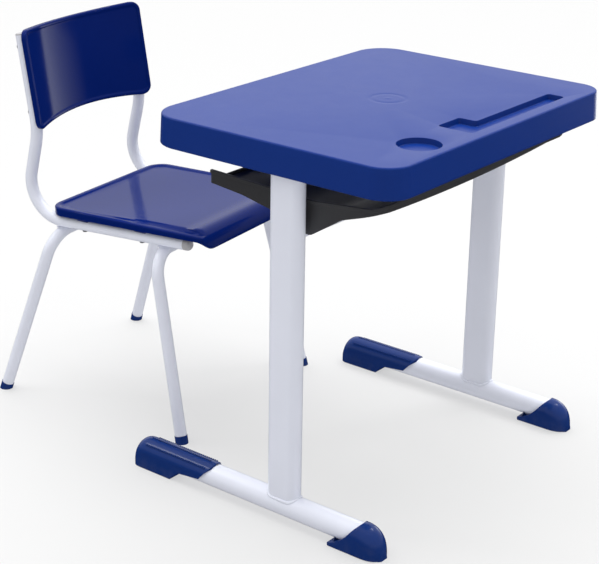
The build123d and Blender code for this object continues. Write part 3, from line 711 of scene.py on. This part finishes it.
def front_shoe_station(y):
    """Half-width and top height of the front shoe at y, and the height of its slanting rear edge."""
    top = RAIL_Z + SHOE_RADIUS
    share = min(1.0, max(0.0, (y - SHOE_FRONT) / FRONT_TOE))
    height = FRONT_TOE_FOOT + (top - FRONT_TOE_FOOT) * sqrt(max(0.0, 1 - (1 - share) ** 2.2))
    toe = min(1.0, (y - SHOE_FRONT) / FRONT_NOSE)
    half = (SHOE_RADIUS + FRONT_FLARE) * max(0.09, 1 - (1 - toe) ** 2.5) ** 0.45
    edge = smooth_value(FRONT_SLANT, y, 3.0) if y > FRONT_SLANT[0][0] else top
    return half, height, edge


def make_front_shoe(hand, side):
    """A domed front shoe, cut off behind by its slanting edge, where it grips the rail."""
    shape = Shape()
    dome = SHOE_FRONT + FRONT_TOE * (1 - np.cos(np.linspace(0.0, pi / 2, 26)))
    slanted = np.linspace(-181.5, FRONT_SLANT[-1][0], 30)
    wall, over = 26, 15
    rings = []
    for y in np.r_[dome, slanted]:
        half, height, edge = front_shoe_station(y)
        full = arch_points(half, height, 0.0, 201, 3.5)
        near = [point for point in full[:101] if point[1] <= edge + 1e-6]
        if len(near) < 2:
            near = full[:2]
        near = even_points(near, wall)
        if edge >= height - 0.05:
            near[-1] = (0.0, height)
            inner = [(0.0, height)] * over
        elif edge > RAIL_Z - RAIL_RADIUS + 1:
            angle = asin(max(-1.0, min(1.0, (edge - RAIL_Z) / (RAIL_RADIUS - SHOE_GRIP))))
            inner = [rail_hug(a) for a in np.linspace(angle, pi - angle, over)]
        else:
            inner = [(near[-1][0] * t, edge) for t in np.linspace(0.95, -0.95, over)]
        far = [(-x, z) for x, z in reversed(near)]
        rings.append(on_side(near + inner + far, side, y))
    shape.loft(rings)
    shape.cap(rings[0])
    shape.cap(rings[-1])
    name = f"desk_front_shoe_dome_{hand}"
    add_piece(name, shape, from_desk, "desk", "shoe_plastic", [f"desk_front_shoe_{hand}"], sharp=42)


# ---- book tray ----
def tray_bow(x, y):
    """How far the front wall's lower edge rises towards its ends, and more so on the sitter's left."""
    share = x / TRAY_HALF
    return (1 - ease(y, TRAY_FRONT, TRAY_FRONT + 60)) * (-3.5 + 8.0 * share**2 + 4.0 * share)


def floor_z(x, y):
    return BAR_TOP + smooth_value(TRAY_FLOOR, y) + tray_bow(x, y)


def under_z(x, y):
    return BAR_TOP + smooth_value(TRAY_UNDER, y, 3.0) + tray_bow(x, y)


def rim_z(x, y):
    return BAR_TOP + smooth_value(TRAY_RIM, y)


def tray_plan(inset):
    """The tray's three walled sides in plan, from its rear right corner round the front to the rear left."""
    half, front = TRAY_HALF - inset, TRAY_FRONT + inset
    radius = TRAY_CORNER - inset
    bends = np.linspace(0, pi / 2, 16)[1:]
    line = [(-half, y) for y in np.linspace(TRAY_REAR, front + radius, 60)]
    line.extend((-half + radius - radius * cos(a), front + radius - radius * sin(a)) for a in bends)
    line.extend((x, front) for x in np.linspace(-half + radius, half - radius, 12)[1:])
    line.extend((half - radius + radius * sin(a), front + radius - radius * cos(a)) for a in bends)
    line.extend((half, y) for y in np.linspace(front + radius, TRAY_REAR, 60)[1:])
    return line


def tray_ring(inset, height, rise=0.0):
    """A ring of the tray's wall, set in from its outside, with its height taken on the outline."""
    return [(x, y, height(*spot) + rise) for (x, y), spot in zip(tray_plan(inset), tray_plan(0.0))]


def make_tray():
    """The book tray: walls with a rolled rim, a double floor, a rear lip and ribs below."""
    shape = Shape()
    floor_inset = 5.5
    wall_profile = (
        (2.6, under_z, 0.5),
        (2.0, under_z, 0.0),
        (0.8, under_z, 0.0),
        (0.2, under_z, 0.8),
        (0.0, under_z, 2.0),
        (0.0, rim_z, -7.5),
        (-0.5, rim_z, -5.6),
        (-2.2, rim_z, -5.0),
        (-2.6, rim_z, -4.4),
        (-2.6, rim_z, -1.0),
        (-2.0, rim_z, -0.2),
        (-1.2, rim_z, 0.0),
        (2.0, rim_z, 0.0),
        (2.8, rim_z, -0.4),
        (3.0, rim_z, -1.4),
        (3.0, floor_z, TRAY_WALL + 5.0),
        (3.6, floor_z, TRAY_WALL + 1.6),
        (floor_inset, floor_z, TRAY_WALL + 0.1),
    )
    rings = [tray_ring(*row) for row in wall_profile]
    shape.loft(rings, closed=False)
    shape.loft([rings[-1], tray_ring(floor_inset, floor_z), rings[0]], closed=False)
    points, faces = patch(tray_plan(floor_inset), pitch=14.0)
    for rise in (TRAY_WALL + 0.1, 0.0):
        shape.add([(x, y, floor_z(x, y) + rise) for x, y in points], faces)

    lip_front = ((-2.6, -1.2), (-3.4, 0.2), (-3.0, 5.8), (-2.2, 7.6))
    lip_rear = ((-0.6, 7.6), (0.0, 6.8), (0.0, -0.6), (-0.6, -1.2))
    lip = lip_front + lip_rear
    lip_xs = np.linspace(-TRAY_HALF + 3, TRAY_HALF - 3, 40)
    lip_rings = [[(x, TRAY_REAR + dy, floor_z(x, TRAY_REAR) + dz) for dy, dz in lip] for x in lip_xs]
    shape.loft(lip_rings, caps=True)

    rib = ((1.7, 2.0), (1.3, -7.4), (0.8, -8.0), (-0.8, -8.0), (-1.3, -7.4), (-1.7, 2.0))
    rib_reach, rib_offset = 252, 17.4
    for y in (COLUMN_Y - rib_offset, COLUMN_Y + rib_offset):
        shape.box_of(*[[(x, y + w, BAR_TOP + z) for w, z in rib] for x in (-rib_reach, rib_reach)])

    fin = ((1.6, 0.5), (1.0, -3.0), (-1.0, -3.0), (-1.6, 0.5))
    fin_ys = [y for y in np.linspace(TRAY_FRONT + 10, TRAY_REAR - 8, 24) if not -50 < y < -13][:14]
    for x in np.linspace(-190, 190, 5):
        shape.loft([[(x + w, y, floor_z(x, y) + z) for w, z in fin] for y in fin_ys], caps=True)
    add_piece("desk_tray_shell", shape, from_desk, "desk", "tray_plastic", ["desk_book_tray"], sharp=35)


# ---- chair shells ----
RAIL_SLOPE = (SEAT_RAIL_END[1] - HEEL[1]) / (SEAT_RAIL_END[0] - HEEL[0])


def rail_height(y):
    return SEAT_RAIL_END[1] + (y - SEAT_RAIL_END[0]) * RAIL_SLOPE


def seat_place(x, along, drop):
    """A point of the seat: x across, along its side profile from the rear edge, and below its top surface."""
    slope = np.array((-1.0, -RAIL_SLOPE)) / sqrt(1 + RAIL_SLOPE**2)
    down = np.array((RAIL_SLOPE, -1.0)) / sqrt(1 + RAIL_SLOPE**2)
    rear = np.array((SEAT_REAR, rail_height(SEAT_REAR) + SEAT_ABOVE_RAIL))
    straight = (SEAT_REAR - SEAT_CREST) / abs(slope[0])
    if along <= straight:
        y, z = rear + slope * along + down * drop
        return x, y, z
    centre = rear + slope * straight + down * SEAT_NOSE
    angle = (along - straight) / SEAT_NOSE
    y, z = centre + (slope * sin(angle) - down * cos(angle)) * (SEAT_NOSE - drop)
    return x, y, z


SEAT_STRAIGHT = (SEAT_REAR - SEAT_CREST) * sqrt(1 + RAIL_SLOPE**2)
SEAT_LENGTH = SEAT_STRAIGHT + SEAT_NOSE * radians(SEAT_NOSE_SWEEP)


def seat_outline(inset):
    """The seat's outline on its unrolled surface."""
    x = SEAT_HALF
    corners = ((-x, 0.0), (x, 0.0), (x, SEAT_LENGTH), (-x, SEAT_LENGTH))
    radii = (SEAT_CORNER, SEAT_CORNER, SEAT_FRONT_CORNER, SEAT_FRONT_CORNER)
    return rounded_outline(corners, radii, -inset, 14)


def seat_hollow(along):
    """How deep the seat's dish is, as a share of the rim's height; it fades out towards the nose."""
    return 1 - ease(along, SEAT_STRAIGHT - 34.0, SEAT_STRAIGHT + 12.0)


# The seat's heights all take x and along, so that a profile or a patch can name any of them.
def seat_pan(x, along):
    """Drop of the sitting surface below the rim, with a broad soft hollow."""
    middle = (along - 150.0) / 170.0
    bowl = max(0.0, 1 - (x / 160.0) ** 2) * max(0.0, 1 - middle**2)
    return 2.6 * seat_hollow(along) + 2.2 * bowl


def seat_underside(x, along):
    """Drop of the shell's underside: level with the skirt's inside, and lower where the pan is deep."""
    return 2.4 + max(seat_pan(x, along), 2.8 if along > SEAT_STRAIGHT else 5.2)


def seat_skirt(x, along):
    """Drop of the skirt's lower edge, less towards the nose."""
    return SEAT_SKIRT - 9.5 * ease(along, SEAT_STRAIGHT + 4.0, SEAT_LENGTH - 4.0)


def seat_inside(x, along):
    """Drop of the shell's underside where it meets the skirt."""
    return 7.6 if along < SEAT_STRAIGHT else 5.2


def seat_bead(x, along):
    """The crest of the rim, a hair higher where the seat is dished."""
    return -0.15 * seat_hollow(along)


def seat_patch(shape, inset, pitch, drop):
    points, faces = patch(seat_outline(inset), pitch=pitch)
    shape.add([seat_place(x, along, drop(x, along)) for x, along in points], faces)


def seat_pad(shape, x, y):
    """One of the pads under the seat that stand on the tubes, round a rivet."""
    top = rail_height(y) + SEAT_ABOVE_RAIL - 4.0
    low = rail_height(y) + TUBE_RADIUS - 2.5
    profile = ((top, 9.5, 15.0), (top - 3, 8.0, 13.5), (low + 0.5, 7.4, 13.0), (low, 7.0, 12.6))
    turns = ((-1, -1), (1, -1), (1, 1), (-1, 1))
    rings = []
    for z, half_x, half_y in profile:
        corners = [(x + across * half_x, y + along * half_y) for across, along in turns]
        rings.append(at_height(rounded_outline(corners, [3.0] * 4, 0.0, 5), z))
    shape.loft(rings, caps=True)


def make_seat():
    """The seat: a skirt, a rounded rim, and a pan that sinks from it, bent down at the nose."""
    shape = Shape()
    rounding, rim_inset, pan_run = 3.6, 7.6, 8.0
    profile = [
        (SHELL_SKIN_INSET, seat_inside, 0.0),
        (SHELL_SKIN_INSET, seat_skirt, -0.3),
        (2.2, seat_skirt, 0.0),
        (0.9, seat_skirt, 0.0),
        (0.2, seat_skirt, -0.7),
        (0.0, seat_skirt, -1.8),
        (0.0, None, 4.2),
    ]
    for a in np.linspace(0.25, pi / 2, 6):
        profile.append((rounding * (1 - cos(a)), None, rounding * (1 - sin(a))))
    profile.append((5.6, seat_bead, 0.0))
    rings = []
    for inset, drop, extra in profile:
        outline = seat_outline(inset)
        rings.append([seat_place(x, t, (drop(x, t) if drop else 0.0) + extra) for x, t in outline])
    for share in np.linspace(0, 1, 7)[1:]:
        outline = seat_outline(rim_inset + pan_run * share)
        rings.append([seat_place(x, t, seat_pan(x, t) * ease(share, 0, 1)) for x, t in outline])
    shape.loft(rings)
    seat_patch(shape, rim_inset + pan_run, 9.0, seat_pan)
    seat_patch(shape, SHELL_SKIN_INSET, 16.0, seat_underside)
    for x in (-FRAME_X, FRAME_X):
        for y in SEAT_RIVET_YS:
            seat_pad(shape, x, y)
    name, replaced = "chair_seat_shell", ["chair_seat"]
    add_piece(name, shape, from_chair, "chair", "chair_shell", replaced, sharp=50, merge=0.05)


BACK_LEAN = atan2(STILE_TOP[0] - KNEE[0], STILE_TOP[1] - KNEE[1])


def back_place(x, up, drop):
    """A point of the backrest: x across, up the stile from the knee, and behind its front surface."""
    depth = BACK_BEND - sqrt(BACK_BEND**2 - FRAME_X**2)
    centre = -TUBE_RADIUS + depth - BACK_BEND
    rear = centre + sqrt((BACK_BEND - BACK_SKIN + drop) ** 2 - x**2)
    y = KNEE[0] + up * sin(BACK_LEAN) + rear * cos(BACK_LEAN)
    z = KNEE[1] + up * cos(BACK_LEAN) - rear * sin(BACK_LEAN)
    return x, y, z


def back_outline(inset):
    """The backrest's outline from the front, its lower edge arched."""
    x = BACK_HALF
    corners = ((-x, 0.0), (x, 0.0), (x, BACK_HEIGHT), (-x, BACK_HEIGHT))
    radii = (BACK_CORNER_LOW, BACK_CORNER_LOW, BACK_CORNER_HIGH, BACK_CORNER_HIGH)
    flat = rounded_outline(corners, radii, -inset, 12)
    corner = len(flat) // 4
    first_side, second_side = corner - 1, 3 * corner - 1
    line = []
    for index, point in enumerate(flat):
        line.append(point)
        if index in (first_side, second_side):
            start, end = np.array(point), np.array(flat[index + 1])
            line.extend(tuple(start + (end - start) * t) for t in np.linspace(0, 1, 26)[1:-1])
    arched = []
    for px, up in line:
        lift = BACK_ARCH * max(0.0, 1 - (px / x) ** 2) * (1 - up / BACK_HEIGHT)
        arched.append((px, up + lift))
    return arched


def back_patch(shape, inset, pitch, drop):
    points, faces = patch(back_outline(inset), pitch=pitch)
    shape.add([back_place(x, up, drop) for x, up in points], faces)


def make_backrest():
    """The backrest: a lip turned back all round, a rounded rim, and a face sunk a little from it."""
    shape = Shape()
    edge, inside, rounding, sunk = BACK_SKIN + BACK_LIP, BACK_SKIN + 0.8, 3.0, 1.1
    profile = [(SHELL_SKIN_INSET, inside), (SHELL_SKIN_INSET, edge - 0.3), (2.2, edge), (0.9, edge)]
    profile.extend([(0.2, edge - 0.6), (0.0, edge - 1.6), (0.0, 3.2)])
    for a in np.linspace(0.25, pi / 2, 6):
        profile.append((rounding * (1 - cos(a)), rounding * (1 - sin(a))))
    profile.extend([(5.6, 0.0), (6.4, 0.12), (7.2, 0.55), (8.0, 0.95), (8.9, sunk), (11.0, sunk)])
    shape.loft([[back_place(x, up, drop) for x, up in back_outline(inset)] for inset, drop in profile])
    back_patch(shape, 11.0, 9.0, sunk)
    back_patch(shape, SHELL_SKIN_INSET, 14.0, inside)
    name, replaced = "chair_back_shell", ["chair_backrest"]
    add_piece(name, shape, from_chair, "chair", "chair_shell", replaced, sharp=50, merge=0.05)


make_desk_top()
make_top_ribs()
make_column_beads(-1)
make_column_beads(1)
make_rear_shoe("right", -1, RIGHT_SLIP)
make_rear_shoe("left", 1, LEFT_SLIP)
make_front_shoe("right", -1)
make_front_shoe("left", 1)
make_tray()
make_seat()
make_backrest()


# ---- floor, lights and camera ----
DIM_SKY, BRIGHT_SKY = 0.60, 1.12  # the studio's wall on the camera's side, and the one behind the desk
BRIGHT_WALL = (0.79, 0.615, 0.25)  # the direction of that brighter wall
CARD_X, CARD_FAR, CARD_NEAR, CARD_TOP, CARD_LEVEL = 1.9, -1.15, 0.0, 0.6, 3.8
FLOOR_REACH, FLOOR_GREY, FLOOR_GLOW = 14.0, 0.25, 0.53
CAMERA_PLACE = Vector((-1.9842, -1.3850, 1.2604))  # from the floor under the middle of the desk top
CAMERA_AZIMUTH = 52.038  # degrees from the desk's +Y towards its +X
CAMERA_PITCH = 21.555  # degrees below the horizon
CAMERA_ROLL = 0.888
LENS, SENSOR = 95.135, 36


def flat_object(name, corners):
    """An object that is one four-sided face."""
    mesh = bpy.data.meshes.new(name)
    mesh.from_pydata(corners, [], [(0, 1, 2, 3)])
    obj = bpy.data.objects.new(name, mesh)
    bpy.context.scene.collection.objects.link(obj)
    return obj


def make_floor():
    """Pale paper that glows a little, so that it stays near white round the soft shadows."""
    reach = FLOOR_REACH
    corners = [(-reach, -reach, 0), (reach, -reach, 0), (reach, reach, 0), (-reach, reach, 0)]
    floor = flat_object("floor", corners)
    material = bpy.data.materials.new("floor_paper")
    material.use_nodes = True
    shader = material.node_tree.nodes["Principled BSDF"]
    shader.inputs["Base Color"].default_value = (FLOOR_GREY, FLOOR_GREY, FLOOR_GREY, 1)
    shader.inputs["Roughness"].default_value = 1.0
    shader.inputs["Specular IOR Level"].default_value = 0.0
    shader.inputs["Emission Color"].default_value = (1, 1, 1, 1)
    shader.inputs["Emission Strength"].default_value = FLOOR_GLOW
    floor.data.materials.append(material)
    floor.visible_glossy = False


def new_light(name, kind, power, glossy):
    light = bpy.data.lights.new(name, kind)
    light.energy = power
    obj = bpy.data.objects.new(name, light)
    bpy.context.scene.collection.objects.link(obj)
    obj.visible_glossy = glossy
    return obj


def area_light(name, place, target, size, power, glossy=False):
    """A square soft light that faces its target."""
    obj = new_light(name, "AREA", power, glossy)
    obj.data.size = size
    obj.location = place
    obj.rotation_euler = (Vector(target) - Vector(place)).to_track_quat("-Z", "Y").to_euler()


def sun_light(name, towards, angle, strength):
    """A wide soft light from one direction, even over the whole floor."""
    obj = new_light(name, "SUN", strength, False)
    obj.data.angle = radians(angle)
    obj.rotation_euler = Vector(towards).to_track_quat("Z", "Y").to_euler()


def reflection_card():
    """A card that only shows in reflections: the bright band on the hollow of the backrest."""
    x, far, near, top = CARD_X, CARD_FAR, CARD_NEAR, CARD_TOP
    card = flat_object("reflection_card", [(x, far, 0.0), (x, near, 0.0), (x, near, top), (x, far, top)])
    material = bpy.data.materials.new("reflection_card")
    material.use_nodes = True
    nodes = Nodes(material.node_tree)
    glow = nodes.add("ShaderNodeEmission")
    parts = nodes.add("ShaderNodeSeparateXYZ")
    nodes.link(nodes.add("ShaderNodeTexCoord").outputs["Object"], parts.inputs["Vector"])
    nodes.link(nodes.spread(parts.outputs["Y"], 0.0, CARD_LEVEL, far, near), glow.inputs["Strength"])
    nodes.link(glow.outputs["Emission"], material.node_tree.nodes["Material Output"].inputs["Surface"])
    card.data.materials.append(material)
    card.visible_camera = False
    card.visible_diffuse = False
    card.visible_shadow = False
    card.visible_transmission = False


def make_studio():
    """A pale studio round the set, brighter behind the desk and dark below; the picture shows plain white."""
    world = bpy.data.worlds.new("studio")
    bpy.context.scene.world = world
    world.use_nodes = True
    sky = Nodes(world.node_tree)
    direction = sky.add("ShaderNodeTexCoord").outputs["Generated"]
    parts = sky.add("ShaderNodeSeparateXYZ")
    sky.link(direction, parts.inputs["Vector"])
    above = sky.spread(parts.outputs["Z"], 0.0, 1.0, -0.02, 0.10)
    facing = sky.add("ShaderNodeVectorMath", operation="DOT_PRODUCT")
    facing.inputs[1].default_value = BRIGHT_WALL
    sky.link(direction, facing.inputs[0])
    backdrop = sky.spread(facing.outputs["Value"], DIM_SKY, BRIGHT_SKY, 0.25, 0.85)
    level = sky.add("ShaderNodeMath", operation="MULTIPLY")
    sky.link(above, level.inputs[0])
    sky.link(backdrop, level.inputs[1])
    background = world.node_tree.nodes["Background"]
    background.inputs["Color"].default_value = (1, 1, 1, 1)
    sky.link(level.outputs[0], background.inputs["Strength"])
    shown = sky.add("ShaderNodeBackground", Strength=1.0)
    shown.inputs["Color"].default_value = (1, 1, 1, 1)
    seen = sky.add("ShaderNodeLightPath")
    choice = sky.add("ShaderNodeMixShader")
    sky.link(seen.outputs["Is Camera Ray"], choice.inputs[0])
    sky.link(background.outputs["Background"], choice.inputs[1])
    sky.link(shown.outputs["Background"], choice.inputs[2])
    sky.link(choice.outputs["Shader"], world.node_tree.nodes["World Output"].inputs["Surface"])


def make_camera():
    """The camera, at the viewing angle that the set is shown from."""
    azimuth, pitch = radians(CAMERA_AZIMUTH), radians(CAMERA_PITCH)
    forward = Vector((sin(azimuth) * cos(pitch), cos(azimuth) * cos(pitch), -sin(pitch)))
    right = Vector((cos(azimuth), -sin(azimuth), 0))
    up = right.cross(forward)
    roll = Matrix.Rotation(-radians(CAMERA_ROLL), 3, forward)
    turn = Matrix((roll @ right, roll @ up, -forward)).transposed().to_4x4()
    lens = bpy.data.cameras.new("camera")
    lens.lens = LENS
    lens.sensor_width = SENSOR
    lens.clip_end = 50
    camera = bpy.data.objects.new("camera", lens)
    bpy.context.scene.collection.objects.link(camera)
    camera.matrix_world = Matrix.Translation(Vector(DESK_PLACE) + CAMERA_PLACE) @ turn
    bpy.context.scene.camera = camera
    bpy.context.scene.view_settings.view_transform = "Standard"


make_floor()
sun_light("overhead", (0.24, 0.17, 1.0), 60, 1.9)
sun_light("overhead_fill", (0.10, 0.10, 1.0), 80, 1.5)
area_light("softbox", (1.2, -3.2, 1.2), (0, 0, 0.4), 1.6, 4.0)
area_light("highlight", (1.9, -0.9, 3.0), (0, 0, 0.1), 0.45, 11, glossy=True)
area_light("rim", (-1.5, 2.3, 2.9), (0, 0, 0.4), 0.3, 9, glossy=True)
reflection_card()
make_studio()
make_camera()
